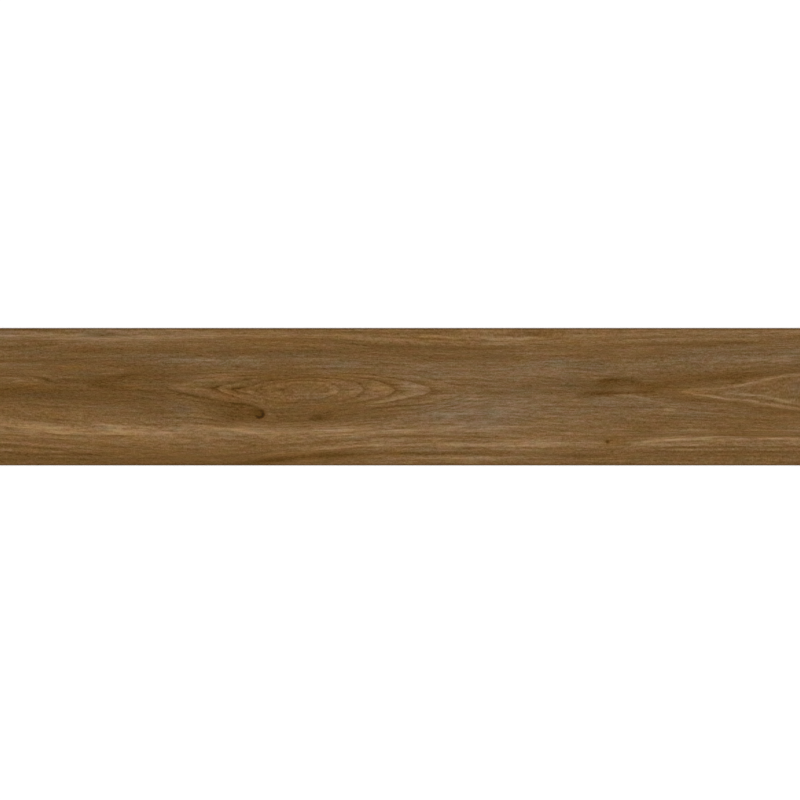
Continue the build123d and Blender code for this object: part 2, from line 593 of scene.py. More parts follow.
# Lines that the fibres follow, from the lower edge to the upper one: even height, then points
FIBRE_LINES = (
    (-100, ((-640, -100), (640, -100))),
    (-70, ((-640, -58), (-500, -66), (-400, -74), (-300, -80), (-220, -82), (-170, -80), (-120, -76),
           (-60, -71), (0, -68), (200, -68), (300, -67), (350, -65), (400, -62), (450, -60),
           (640, -61))),
    (-50, ((-640, -38), (-540, -44), (-480, -49), (-400, -51), (-240, -52), (-180, -55), (-120, -52),
           (-60, -50), (200, -47), (300, -50), (640, -52))),
    (-25, ((-640, -10), (-500, -15), (-400, -20), (-300, -25), (-240, -34), (-200, -38), (-150, -36),
           (-100, -32), (-40, -25), (40, -22), (200, -22), (400, -24), (520, -30), (640, -34))),
    (0, ((-640, 12), (-560, 8), (-480, 4), (-330, 2), (-260, -4), (-220, -10), (-190, -12), (-140, -10),
         (-80, -6), (0, -2), (100, 0), (300, 0), (420, -2), (500, -8), (640, -20))),
    (20, ((-640, 28), (-500, 24), (-300, 22), (0, 22), (300, 18), (420, 16), (500, 20), (560, 28),
          (640, 33))),
    (40, ((-640, 44), (-400, 40), (0, 40), (150, 38), (300, 36), (420, 36), (520, 40), (640, 46))),
    (60, ((-640, 56), (-500, 57), (-400, 62), (-100, 62), (0, 58), (120, 56), (200, 57), (300, 60),
          (640, 64))),
    (80, ((-640, 80), (-300, 82), (-180, 83), (-100, 81), (0, 75), (60, 72), (120, 72), (200, 74),
          (300, 77), (400, 80), (640, 82))),
    (92, ((-640, 89), (-480, 88), (-240, 91), (-120, 93), (0, 91), (60, 88), (120, 85), (180, 85),
          (240, 87), (320, 90), (420, 92), (640, 94))),
    (100, ((-640, 100), (640, 100))),
)

# Growth rings of the cathedral, inner ones first: points (x, half height) of each ring about the axis.
# The half height is zero at a ring's two tips and below zero beyond them. Outside the last of these
# rings, more follow at an even spacing.
RING_AXIS = ((-640, 18), (-450, 16), (-330, 14.5), (-270, 11.5), (-245, 10), (-119, 9.5), (-50, 10),
             (45, 9.5), (105, 9), (640, 8))
RINGS = (
    ((-640, -72), (640, -72)),
    ((-640, -64), (-300, -44), (-200, -12), (-173, 0), (-165, 5), (-150, 8.5), (-135, 9), (-120, 7.5),
     (-110, 4.5), (-103, 0), (-90, -10), (-60, -24), (0, -44), (640, -64)),
    ((-640, -56), (-300, -34), (-230, -9), (-211, 0), (-200, 5), (-190, 9), (-170, 12), (-140, 13.5),
     (-119, 13), (-100, 8.5), (-92, 5), (-85, 0), (-70, -10), (0, -34), (640, -56)),
    ((-640, -48), (-340, -30), (-262, -8), (-243, 0), (-232, 3.5), (-218, 6.5), (-205, 10.5),
     (-190, 13.5), (-160, 17), (-119, 17.5), (-90, 15.5), (-70, 12.5), (-62, 10), (-56, 5.5), (-50, 0),
     (-35, -9), (45, -32), (640, -48)),
    ((-640, -40), (-400, -26), (-290, -8), (-268, 0), (-256, 5.5), (-246, 8.5), (-234, 11.5),
     (-220, 15), (-200, 19), (-160, 21.5), (-119, 21.5), (-62, 17.5), (-45, 15), (-30, 12.5),
     (-20, 9.5), (-12, 5.5), (-5, 0), (10, -9), (100, -28), (640, -40)),
    ((-640, -30), (-450, -20), (-360, -6), (-341, 0), (-330, 4.5), (-300, 12), (-260, 17), (-200, 23),
     (-119, 26.5), (-60, 22.5), (-20, 18.5), (0, 15.5), (20, 11), (30, 8.5), (40, 5), (47, 0), (62, -8),
     (160, -22), (640, -30)),
    ((-640, -20), (-520, -14), (-460, -6), (-422, 0), (-360, 13), (-300, 19), (-240, 25), (-119, 31),
     (-50, 27.5), (-10, 23.5), (30, 20), (60, 14), (90, 6), (105, 0), (130, -6), (220, -14),
     (640, -20)),
)
RING_SPACING = 6.0

# Where the rings show: strength, middle x and y, half length, half height. Elsewhere they are faint.
RING_ZONES = (
    (0.8, -265, 9, 65, 20),
    (0.9, -5, 8, 72, 26),
    (0.4, -130, 10, 55, 20),
    (0.35, -140, 27, 80, 7),
    (0.35, 80, -14, 45, 18),
)
RING_FAINT = 0.05


def smooth_path(x, points):
    """Height at x of a smooth line through points, made of cubic pieces."""
    px, py = np.array(points, float).T
    slope = np.gradient(py, px)
    i = np.clip(np.searchsorted(px, x) - 1, 0, len(px) - 2)
    gap = px[i + 1] - px[i]
    t = np.clip((x - px[i]) / gap, 0, 1)
    start = py[i] * (1 + 2 * t) * (1 - t) ** 2 + gap * slope[i] * t * (1 - t) ** 2
    end = py[i + 1] * t**2 * (3 - 2 * t) + gap * slope[i + 1] * t**2 * (t - 1)
    return start + end


def ease(t):
    """Rises smoothly from 0 to 1 as t does."""
    t = np.clip(t, 0, 1)
    return t * t * (3 - 2 * t)


def mound(x, y, middle_x, middle_y, half_length, half_height):
    """Weight of an oval zone: 1 in its middle, fading outwards."""
    return np.exp(-(((x - middle_x) / half_length) ** 2) - ((y - middle_y) / half_height) ** 2)


def drawn_tone(x, y):
    """Tone of the drawn streaks and spots, and of the painted shade along the long edges, at points of
    the face.
    """
    tone = np.zeros_like(x)
    for lift, half_width, points in STREAKS:
        start, end = points[0][0], points[-1][0]
        fade = min(LONGEST_FADE, FADE_SHARE * (end - start))
        weight = ease((x - start) / fade) * ease((end - x) / fade)
        tone += lift * weight * np.exp(-(((y - smooth_path(x, points)) / half_width) ** 2))
    for lift, *spot in SPOTS:
        tone += lift * mound(x, y, *spot)
    # Painted shade: a dark line along both long edges of the face
    lift, reach = PAINTED_EDGE_SHADE
    tone += lift * np.exp(-(((np.abs(y).max() - np.abs(y)) / reach) ** 4))
    return tone


def drawn_warmth(x, y):
    """Warmth of the drawn stains at points of the face."""
    return sum(warmth * mound(x, y, *stain) for warmth, *stain in STAINS)


def fibre_height(x, y):
    """Height of a point among the fibres, as if they all ran straight."""
    paths = [smooth_path(x, points) for _, points in FIBRE_LINES]
    even = [height for height, _ in FIBRE_LINES]
    found = np.full_like(x, even[0])
    for i in range(len(even) - 1):
        found += (even[i + 1] - even[i]) * np.clip((y - paths[i]) / (paths[i + 1] - paths[i]), 0, 1)
    return found


def ring_place(x, y):
    """Count of growth rings out to a point, and how strongly the rings show there."""
    across = np.abs(y - smooth_path(x, RING_AXIS))
    heights = [smooth_path(x, points) for points in RINGS]
    count = np.maximum((across - heights[-1]) / RING_SPACING, 0)
    for inner, outer in zip(heights, heights[1:]):
        count += np.clip((across - inner) / (outer - inner), 0, 1)
    shown = RING_FAINT + sum(strength * mound(x, y, *zone) for strength, *zone in RING_ZONES)
    return count, np.minimum(shown, 1)


# Settings that a user would change

def srgb(red, green, blue):
    """Linear colour of an 8-bit screen colour."""
    shares = (value / 255 for value in (red, green, blue))
    return tuple(s / 12.92 if s <= 0.04045 else ((s + 0.055) / 1.055) ** 2.4 for s in shares)


def length_prop(name, description, default):
    """A length in metres."""
    return FloatProperty(
        name=name, description=description, default=default, min=0, precision=5, unit="LENGTH")


def colour_prop(name, description, default):
    """A linear colour."""
    return FloatVectorProperty(
        name=name, description=description, default=default, subtype="COLOR", min=0, max=1)


def factor_prop(name, description, default):
    """A plain number."""
    return FloatProperty(name=name, description=description, default=default)


def angle_prop(name, description, degrees):
    """An angle, given in degrees."""
    return FloatProperty(
        name=name, description=description, default=math.radians(degrees), subtype="ANGLE")


def count_prop(name, description, default):
    """A whole number, at least 1."""
    return IntProperty(name=name, description=description, default=default, min=1)


class TileSizes(bpy.types.PropertyGroup):
    """Sizes of the fired tile, by default those of the CAD tile, and the facets of its face."""

    length: length_prop("Length", "Along the plank", TILE_HIGH.x - TILE_LOW.x)
    width: length_prop("Width", "Across the plank", TILE_HIGH.y - TILE_LOW.y)
    thickness: length_prop("Thickness", "From the ribs to the face", TILE_HIGH.z - TILE_LOW.z)
    face_bevel: length_prop("Face bevel", "Arris ground round the face", LEVELS[-1] - LEVELS[-2])
    cell_length: length_prop("Cell length", "Along a keying cell", BACK_ALONG[2] - BACK_ALONG[1])
    cell_width: length_prop("Cell width", "Across a keying cell", BACK_ACROSS[2] - BACK_ACROSS[1])
    rib_width: length_prop("Rib width", "Rib between two keying cells", BACK_ALONG[3] - BACK_ALONG[2])
    cell_depth: length_prop("Cell depth", "Depth of the keying cells", LEVELS[1] - LEVELS[0])
    cell_slope: length_prop("Cell slope", "Run of a cell's drafted wall", CELL_FLOOR[0] - BACK_ALONG[1])
    cells_along: count_prop("Cells along", "Keying cells along the plank", len(BACK_ALONG) // 2 - 1)
    cells_across: count_prop("Cells across", "Keying cells across it", len(BACK_ACROSS) // 2 - 1)
    columns: count_prop("Columns", "Facets of the face along the plank", 460)
    rows: count_prop("Rows", "Facets of the face across the plank", 190)


class FaceFinish(bpy.types.PropertyGroup):
    """Print and glaze of the face."""

    darkest: colour_prop("Knot", "Print at its darkest", srgb(55, 33, 2))
    dark: colour_prop("Dark streak", "Print in a dark streak", srgb(86.5, 56.8, 12))
    brown: colour_prop("Mean brown", "Print at its mean tone", srgb(116.7, 85.7, 48.2))
    pale: colour_prop("Pale streak", "Print in a pale streak", srgb(145.7, 114.7, 79.2))
    palest: colour_prop("Palest line", "Print at its palest", srgb(162, 132, 95))
    figure: factor_prop("Figure tone", "Strength of the drawn figure", 1.28)
    dots: factor_prop("Dot tone", "Strength of the print's finest dots", 36.0)
    fleck: factor_prop("Fleck tone", "Strength of the short flecks", 26.0)
    fibre: factor_prop("Fibre tone", "Strength of the fibres", 30.0)
    streak: factor_prop("Streak tone", "Strength of the long fine streaks", 50.0)
    band: factor_prop("Band tone", "Strength of the broad streaks", 22.0)
    pore: factor_prop("Pore tone", "Strength of the pores", 16.0)
    ring: factor_prop("Ring tone", "Strength of the growth rings", 35.0)
    knot: factor_prop("Knot tone", "Strength of the knot", 46.0)
    stain: factor_prop("Stain", "Strength of the uneven stain", 2.6)
    roughness: factor_prop("Roughness", "Roughness of the matt glaze", 0.62)
    specular: factor_prop("Specular", "Specular level of the matt glaze", 0.06)
    relief: length_prop("Relief", "Depth of the grain pressed into the face", 0.2 * MM)


class BodyFinish(bpy.types.PropertyGroup):
    """Bare porcelain of the edges and the back."""

    body: colour_prop("Body", "Stained porcelain body", srgb(112, 86, 58))
    grain: colour_prop("Body grain", "Darker grains in the body", srgb(84, 62, 40))
    wash: colour_prop("Kiln wash", "Pale powder left on the ribs by the kiln", srgb(168, 152, 130))
    roughness: factor_prop("Roughness", "Roughness of the bare body", 0.8)


class StageLook(bpy.types.PropertyGroup):
    """Floor, light and camera."""

    floor: colour_prop("Floor", "Pale floor", (0.8, 0.8, 0.8))
    floor_size: length_prop("Floor size", "Side of the floor", 60.0)
    floor_gap: length_prop("Floor gap", "Between the floor and the tile", 0.1 * MM)
    floor_roughness: factor_prop("Floor roughness", "Roughness of the floor", 0.9)
    floor_lift: factor_prop("Floor lift", "White added to the floor where it is seen", 0.28)
    ambient: factor_prop("Ambient", "Share of the light that comes from all round", 0.32)
    left: factor_prop("Left light", "Share of the light from the left end", 0.38)
    right: factor_prop("Right light", "Share of the light from the right end", 0.30)
    lamp_height: angle_prop("Lamp height", "Lamps above the horizon", 60)
    lamp_size: angle_prop("Lamp size", "Angle that each soft lamp fills", 20)
    lens: factor_prop("Lens", "Focal length in millimetres", 200.0)
    frame_width: length_prop("Frame width", "Width of the picture at the face", 1.1649)
    frame_drop: length_prop("Frame drop", "Middle of the picture below the middle of the face", 0.0048)


class PlankTileSettings(bpy.types.PropertyGroup):
    """All settings of the plank tile."""

    sizes: PointerProperty(type=TileSizes)
    face: PointerProperty(type=FaceFinish)
    body: PointerProperty(type=BodyFinish)
    stage: PointerProperty(type=StageLook)


# Node helpers

class Graph:
    """Adds nodes to a tree. A value fed to a socket is a number or another node's output."""

    def __init__(self, tree):
        self.tree = tree

    def feed(self, socket, value):
        """Sets a socket, or links it."""
        if isinstance(value, bpy.types.NodeSocket):
            self.tree.links.new(value, socket)
        else:
            socket.default_value = value

    def add(self, kind, inputs=None, **options):
        """A node with its options and named inputs set."""
        node = self.tree.nodes.new(kind)
        for name, value in options.items():
            setattr(node, name, value)
        for name, value in (inputs or {}).items():
            self.feed(node.inputs[name], value)
        return node

    def formula(self, kind, operation, values):
        """Output of a maths node."""
        node = self.add(kind, operation=operation)
        for socket, value in zip(node.inputs, values):
            self.feed(socket, value)
        return next(socket for socket in node.outputs if socket.enabled)

    def math(self, operation, *values):
        """Output of a maths node on numbers."""
        return self.formula("ShaderNodeMath", operation, values)

    def vector(self, operation, *values):
        """Output of a maths node on vectors."""
        return self.formula("ShaderNodeVectorMath", operation, values)

    def triple(self, x, y, z):
        """A vector from three numbers."""
        return self.add("ShaderNodeCombineXYZ", {"X": x, "Y": y, "Z": z}).outputs[0]

    def parts(self, vector):
        """Three numbers from a vector."""
        return self.add("ShaderNodeSeparateXYZ", {"Vector": vector}).outputs

    def blend(self, share, first, second):
        """Colour between two others."""
        node = self.add("ShaderNodeMix", data_type="RGBA")
        sockets = {socket.identifier: socket for socket in node.inputs}
        for name, value in (("Factor_Float", share), ("A_Color", first), ("B_Color", second)):
            self.feed(sockets[name], value)
        return next(socket for socket in node.outputs if socket.identifier == "Result_Color")

    def rise(self, value, low, high):
        """Number that goes from 0 to 1 as a value goes from low to high."""
        node = self.add("ShaderNodeMapRange", {"Value": value, "From Min": low, "From Max": high})
        return node.outputs[0]

    def ramp(self, value, stops):
        """Colour from a ramp of (place, colour) stops."""
        node = self.add("ShaderNodeValToRGB", {"Fac": value})
        elements = node.color_ramp.elements
        while len(elements) < len(stops):
            elements.new(1.0)
        for element, (place, colour) in zip(elements, stops):
            element.position = place
            element.color = (*colour, 1.0)
        return node.outputs["Color"]


# Shape of the tile

# Level border of the face, in metres, inside which the grain relief starts
LEVEL_BORDER = 4 * MM

# Rows of the texture layout, as left, width, bottom and height: two halves of the face, the back,
# two halves of each long edge, and the ends
MAP_NAME = "OFBake"
MAP_ROWS = (
    (0.004, 0.992, 0.004, 0.355),
    (0.004, 0.992, 0.365, 0.355),
    (0.004, 0.992, 0.727, 0.145),
    (0.004, 0.992, 0.880, 0.017),
    (0.004, 0.992, 0.904, 0.017),
    (0.004, 0.992, 0.928, 0.017),
    (0.004, 0.992, 0.952, 0.017),
    (0.004, 0.490, 0.976, 0.017),
    (0.506, 0.490, 0.976, 0.017),
)

# Row of the back, and the first rows of the long edges and of the ends
BACK_ROW, EDGE_ROW, END_ROW = 2, 3, 7

# Inputs of the tile's tree; each has the name of a setting
TREE_LENGTHS = ("Length", "Width", "Thickness", "Face Bevel", "Cell Length", "Cell Width", "Rib Width",
                "Cell Depth", "Cell Slope")
TREE_COUNTS = ("Cells Along", "Cells Across", "Columns", "Rows")

# Least rise of a normal on the flat face, and on the face with its relief; least turn towards a side
FACES_UP = 0.95
RELIEF_UP = 0.85
FACES_SIDE = 0.5

# Cuts of the grain relief: share of its depth, length and width in millimetres, seed
GRAIN_CUTS = ((0.6, 60.0, 3.6, 1), (0.4, 17.0, 2.4, 2))

# Factors of the hashed random heights: column, row, seed and spread
HASH = (12.9898, 78.233, 37.719, 43758.5453)

# Vertex attributes that the print reads. The grain is x, the height among the fibres and the ring;
# the figure is the tone, which also holds the painted shade along the long edges, the warmth and how
# strongly the rings show.
GRAIN_LAYER = "grain"
FIGURE_LAYER = "figure"


def open_edges(g):
    """Selection of the edges that have only one face."""
    count = g.add("GeometryNodeInputMeshEdgeNeighbors").outputs["Face Count"]
    only_one = g.add("FunctionNodeCompare", {"A": count, "B": 1}, data_type="INT", operation="EQUAL")
    return only_one.outputs[0]


def slab_nodes(g, size):
    """Face, bevel and edges of the slab, open at the back."""
    inner_length = g.math("SUBTRACT", size["Length"], g.math("MULTIPLY", size["Face Bevel"], 2))
    inner_width = g.math("SUBTRACT", size["Width"], g.math("MULTIPLY", size["Face Bevel"], 2))
    face = g.add("GeometryNodeMeshGrid", {
        "Size X": inner_length, "Size Y": inner_width,
        "Vertices X": g.math("ADD", size["Columns"], 1), "Vertices Y": g.math("ADD", size["Rows"], 1)})
    raised = g.add("GeometryNodeTransform", {
        "Geometry": face.outputs["Mesh"], "Translation": g.triple(0, 0, size["Thickness"])})
    rim = g.add("GeometryNodeExtrudeMesh", {
        "Mesh": raised.outputs[0], "Selection": open_edges(g), "Offset Scale": 0.0}, mode="EDGES")
    outward = g.triple(
        g.math("DIVIDE", size["Length"], inner_length),
        g.math("DIVIDE", size["Width"], inner_width), 1.0)
    drop = g.triple(0, 0, g.math("MULTIPLY", size["Face Bevel"], -1))
    place = g.add("GeometryNodeInputPosition").outputs[0]
    bevelled = g.add("GeometryNodeSetPosition", {
        "Geometry": rim.outputs["Mesh"], "Selection": rim.outputs["Top"],
        "Position": g.vector("MULTIPLY_ADD", place, outward, drop)})
    wall = g.math("SUBTRACT", size["Thickness"], size["Face Bevel"])
    edges = g.add("GeometryNodeExtrudeMesh", {
        "Mesh": bevelled.outputs[0], "Selection": rim.outputs["Top"],
        "Offset": g.triple(0, 0, -1), "Offset Scale": wall}, mode="EDGES")
    return edges.outputs["Mesh"]


def back_nodes(g, size):
    """Keying cells of the back, one cell repeated over the field."""
    pitch_along = g.math("ADD", size["Cell Length"], size["Rib Width"])
    pitch_across = g.math("ADD", size["Cell Width"], size["Rib Width"])
    slopes = g.math("MULTIPLY", size["Cell Slope"], 2)
    floor_length = g.math("SUBTRACT", size["Cell Length"], slopes)
    floor_width = g.math("SUBTRACT", size["Cell Width"], slopes)

    module = g.add("GeometryNodeMeshGrid", {
        "Size X": pitch_along, "Size Y": pitch_across, "Vertices X": 2, "Vertices Y": 2})
    downward = g.add("GeometryNodeFlipFaces", {"Mesh": module.outputs["Mesh"]})
    ribs = g.add("GeometryNodeExtrudeMesh", {
        "Mesh": downward.outputs[0], "Offset Scale": 0.0}, mode="FACES")
    place = g.add("GeometryNodeInputPosition").outputs[0]
    to_cell = g.triple(
        g.math("DIVIDE", size["Cell Length"], pitch_along),
        g.math("DIVIDE", size["Cell Width"], pitch_across), 1.0)
    mouth = g.add("GeometryNodeSetPosition", {
        "Geometry": ribs.outputs["Mesh"], "Selection": ribs.outputs["Top"],
        "Position": g.vector("MULTIPLY", place, to_cell)})
    walls = g.add("GeometryNodeExtrudeMesh", {
        "Mesh": mouth.outputs[0], "Selection": ribs.outputs["Top"], "Offset Scale": 0.0}, mode="FACES")
    to_floor = g.triple(
        g.math("DIVIDE", floor_length, size["Cell Length"]),
        g.math("DIVIDE", floor_width, size["Cell Width"]), 1.0)
    cell = g.add("GeometryNodeSetPosition", {
        "Geometry": walls.outputs["Mesh"], "Selection": walls.outputs["Top"],
        "Position": g.vector("MULTIPLY_ADD", place, to_floor, g.triple(0, 0, size["Cell Depth"]))})

    def span(pitch, count):
        return g.math("MULTIPLY", pitch, g.math("SUBTRACT", count, 1))

    middles = g.add("GeometryNodeMeshGrid", {
        "Size X": span(pitch_along, size["Cells Along"]),
        "Size Y": span(pitch_across, size["Cells Across"]),
        "Vertices X": size["Cells Along"], "Vertices Y": size["Cells Across"]})
    cells = g.add("GeometryNodeInstanceOnPoints", {
        "Points": middles.outputs["Mesh"], "Instance": cell.outputs[0]})
    field = g.add("GeometryNodeRealizeInstances", {"Geometry": cells.outputs[0]})
    merged = g.add("GeometryNodeMergeByDistance", {"Geometry": field.outputs[0], "Distance": SAME_PLACE})
    return merged.outputs[0]


def outline_nodes(g, mesh):
    """Curve along the open edges of a mesh."""
    return g.add("GeometryNodeMeshToCurve", {"Mesh": mesh, "Selection": open_edges(g)}).outputs[0]


def tile_tree(face_look, body_look):
    """Geometry Nodes tree of the whole tile, with its face still flat."""
    tree = bpy.data.node_groups.new("plank_tile", "GeometryNodeTree")
    for kind, names in (("NodeSocketFloat", TREE_LENGTHS), ("NodeSocketInt", TREE_COUNTS)):
        for name in names:
            tree.interface.new_socket(name, in_out="INPUT", socket_type=kind)
    tree.interface.new_socket("Tile", in_out="OUTPUT", socket_type="NodeSocketGeometry")
    g = Graph(tree)
    size = g.add("NodeGroupInput").outputs
    slab = slab_nodes(g, size)
    back = back_nodes(g, size)

    outlines = g.add("GeometryNodeJoinGeometry")
    tree.links.new(outline_nodes(g, slab), outlines.inputs[0])
    tree.links.new(outline_nodes(g, back), outlines.inputs[0])
    border = g.add("GeometryNodeFillCurve", {"Curve": outlines.outputs[0]}, mode="TRIANGLES")
    downward = g.add("GeometryNodeFlipFaces", {"Mesh": border.outputs[0]})

    tile = g.add("GeometryNodeJoinGeometry")
    for part in (slab, back, downward.outputs[0]):
        tree.links.new(part, tile.inputs[0])
    plain = g.add("GeometryNodeRealizeInstances", {"Geometry": tile.outputs[0]})
    closed = g.add("GeometryNodeMergeByDistance", {"Geometry": plain.outputs[0], "Distance": SAME_PLACE})
    up = g.parts(g.add("GeometryNodeInputNormal").outputs[0])[2]
    is_face = g.add(
        "FunctionNodeCompare", {"A": up, "B": FACES_UP}, data_type="FLOAT", operation="GREATER_THAN")
    flat = g.add("GeometryNodeSetShadeSmooth", {"Geometry": closed.outputs[0], "Shade Smooth": False})
    smooth = g.add("GeometryNodeSetShadeSmooth", {
        "Geometry": flat.outputs[0], "Selection": is_face.outputs[0], "Shade Smooth": True})
    bare = g.add("GeometryNodeSetMaterial", {"Geometry": smooth.outputs[0], "Material": body_look})
    printed = g.add("GeometryNodeSetMaterial", {
        "Geometry": bare.outputs[0], "Selection": is_face.outputs[0], "Material": face_look})
    g.add("NodeGroupOutput", {"Tile": printed.outputs[0]})
    return tree


def fire_tile(name, tree, sizes):
    """Object with the tree's result as a plain mesh."""
    tile = bpy.data.objects.new(name, bpy.data.meshes.new(name))
    bpy.context.scene.collection.objects.link(tile)
    modifier = tile.modifiers.new("Tile", "NODES")
    modifier.node_group = tree
    for item in tree.interface.items_tree:
        if item.in_out == "INPUT":
            modifier[item.identifier] = getattr(sizes, item.name.lower().replace(" ", "_"))
    depsgraph = bpy.context.evaluated_depsgraph_get()
    mesh = bpy.data.meshes.new_from_object(tile.evaluated_get(depsgraph), depsgraph=depsgraph)
    tile.modifiers.remove(modifier)
    tile.data = mesh
    mesh.name = name
    for index in reversed(range(len(mesh.materials))):
        if mesh.materials[index] is None:
            mesh.materials.pop(index=index)
    check_closed(mesh)
    return tile


def check_closed(mesh):
    """Raises an error unless the mesh has faces and each of its edges joins two of them."""
    edges = read_rows(mesh.loops, "edge_index", kind=np.int32)
    faces_at_edge = np.bincount(edges, minlength=len(mesh.edges))
    if not len(mesh.polygons) or (faces_at_edge != 2).any():
        raise RuntimeError(f"{mesh.name} is not a closed mesh")


def vertex_places(mesh):
    """Vertex coordinates as rows of an array."""
    return read_rows(mesh.vertices, "co", 3).astype(float)


def write_vectors(mesh, name, *columns):
    """Stores three numbers at each vertex as a named attribute."""
    attribute = mesh.attributes.new(name, "FLOAT_VECTOR", "POINT")
    attribute.data.foreach_set("vector", np.column_stack(columns).astype(np.float32).ravel())


def soft_noise(x, y, seed):
    """Smooth random heights from 0 to 1, one for each unit square."""
    column, row = np.floor(x), np.floor(y)
    by_column, by_row, by_seed, spread = HASH

    def height(i, j):
        mixed = np.sin(i * by_column + j * by_row + seed * by_seed) * spread
        return mixed - np.floor(mixed)

    u, v = ease(x - column), ease(y - row)
    lower = height(column, row) * (1 - u) + height(column + 1, row) * u
    upper = height(column, row + 1) * (1 - u) + height(column + 1, row + 1) * u
    return lower * (1 - v) + upper * v


def press_grain(mesh, places, sizes, depth):
    """Presses the grain into the face, along the fibres; its border stays level."""
    x, y = places[:, 0] / MM, places[:, 1] / MM
    across = fibre_height(x, y)
    cuts = np.zeros_like(x)
    for part, length, width, seed in GRAIN_CUTS:
        cuts += part * soft_noise(x / length, across / width, seed)
    border = np.minimum(sizes.length / 2 - np.abs(places[:, 0]), sizes.width / 2 - np.abs(places[:, 1]))
    share = ease((border - sizes.face_bevel) / LEVEL_BORDER)
    on_face = places[:, 2] > sizes.thickness - SAME_PLACE
    places[on_face, 2] -= (depth * share * cuts)[on_face]
    mesh.vertices.foreach_set("co", places.astype(np.float32).ravel())


def lay_out_map(mesh, sizes):
    """Texture layout: the face in two strips, then the back, the long edges and the ends."""
    corners = read_rows(mesh.loops, "vertex_index", kind=np.int32)
    counts = read_rows(mesh.polygons, "loop_total", kind=np.int32)
    middle = np.repeat(read_rows(mesh.polygons, "center", 3), counts, axis=0)
    normal = np.repeat(read_rows(mesh.polygons, "normal", 3), counts, axis=0)
    x, y, z = vertex_places(mesh)[corners].T

    half_length, half_width = sizes.length / 2, sizes.width / 2
    face = normal[:, 2] > RELIEF_UP
    face &= middle[:, 2] > sizes.thickness / 2
    side = np.abs(middle[:, 1]) > half_width - sizes.face_bevel
    side &= np.abs(normal[:, 1]) > FACES_SIDE
    end = np.abs(middle[:, 0]) > half_length - sizes.face_bevel
    end &= np.abs(normal[:, 0]) > FACES_SIDE
    back = ~(face | side | end)
    right = middle[:, 0] > 0
    rear = middle[:, 1] > 0
    drop = (sizes.thickness - z) / sizes.thickness

    along_half = np.where(right, x, x + half_length) / half_length
    across = (y + half_width) / sizes.width
    u = np.where(end, across, np.where(back, (x + half_length) / sizes.length, along_half))
    v = np.where(face | back, across, drop)
    edge_row = np.where(side, EDGE_ROW + right + 2 * rear, END_ROW + right)
    row = np.where(face, right, np.where(back, BACK_ROW, edge_row))
    left, wide, low, high = np.array(MAP_ROWS).T
    u = left[row] + wide[row] * u
    v = low[row] + high[row] * v
    layer = mesh.uv_layers.new(name=MAP_NAME)
    layer.uv.foreach_set("vector", np.column_stack((u, v)).astype(np.float32).ravel())


# Materials

# Noises of the print, drawn out along the grain: length and width in millimetres, seed, detail
DOT_NOISE = (2.0, 1.7, 5.0, 0.0)
FLECK_NOISE = (6.0, 2.4, 3.0, 0.0)
PORE_NOISE = (8.0, 1.8, 37.0, 1.0)
FIBRE_NOISE = (22.0, 3.0, 7.0, 1.0)
STREAK_NOISE = (80.0, 3.8, 11.0, 2.0)
BAND_NOISE = (260.0, 9.0, 23.0, 2.0)
WOBBLE_NOISE = (55.0, 14.0, 29.0, 2.0)
STAIN_NOISE = (40.0, 12.0, 41.0, 3.0)
MOTTLE_NOISE = (24.0, 11.0, 53.0, 3.0)
NOISE_ROUGHNESS = 0.55
NOISE_MEAN = 0.5

# Noise at which a pore begins, and at which it is full
PORE_RANGE = (0.1, 0.24)

# How far the streaks and the wobble push the rings about, counted in rings
RING_FRAY = 0.3
RING_WOBBLE = 0.5

# Tone within one ring, as (place from its inner side, level), and the level that changes nothing
RING_TONES = ((0.0, 0.0), (0.12, 0.1), (0.3, 0.45), (0.6, 0.85), (0.9, 1.0), (1.0, 0.0))
RING_LEVEL = 0.6

# How far the streaks and the fibres break up the drawn figure
STREAK_BREAKS = 2.0
FIBRE_BREAKS = 1.5

# Range of the print's tones, and the tones of its five colours from the darkest to the palest
TONE_LOW, TONE_HIGH = -70.0, 60.0
INK_TONES = (-60, -30, 0, 30, 50)

# Red, green and blue that one unit of stain or of mottle adds, as shares of the ink
STAIN_TINT = (0.067, -0.013, -0.235)
MOTTLE_TINT = (0.23, -0.19, 0.26)

# Glaze: roughness and height that the fibres and the pores add, and strength and depth of that relief
FIBRE_ROUGHNESS, PORE_ROUGHNESS = 0.2, 0.1
FIBRE_HEIGHT, PORE_HEIGHT = 0.8, -0.6
GLAZE_BUMP = (0.25, 0.2 * MM)

# Bare body: scale and detail of its grains and of its clouds
GRAIN_SCALE, GRAIN_DETAIL = 900.0, 2.0
CLOUD_SCALE, CLOUD_DETAIL = 25.0, 4.0

# Noise at which a grain begins and at which it is full, and strength and depth of the grains' relief
GRAIN_RANGE = (0.5, 0.75)
GRAIN_BUMP = (0.2, 0.1 * MM)

# Roughness from the smoothest cloud to the roughest
CLOUD_ROUGHNESS = 0.1

# Kiln wash: noise at which it begins and at which it is full, how high up a rib it reaches, its strength
WASH_RANGE = (0.35, 0.7)
WASH_TOP = 0.3 * MM
WASH_STRENGTH = 0.8


def new_material(name):
    """Material with a bare Principled shader, and its graph."""
    material = bpy.data.materials.new(name)
    material.use_nodes = True
    material.node_tree.nodes.clear()
    g = Graph(material.node_tree)
    shader = g.add("ShaderNodeBsdfPrincipled")
    g.add("ShaderNodeOutputMaterial", {"Surface": shader.outputs[0]})
    return material, g, shader.inputs


def place_on_tile(g):
    """Object coordinates."""
    return g.add("ShaderNodeTexCoord").outputs["Object"]


def bumped(g, height, bump):
    """Normal of a fine relief, from its height, and its strength and depth."""
    strength, depth = bump
    node = g.add("ShaderNodeBump", {"Height": height, "Strength": strength, "Distance": depth})
    return node.outputs[0]


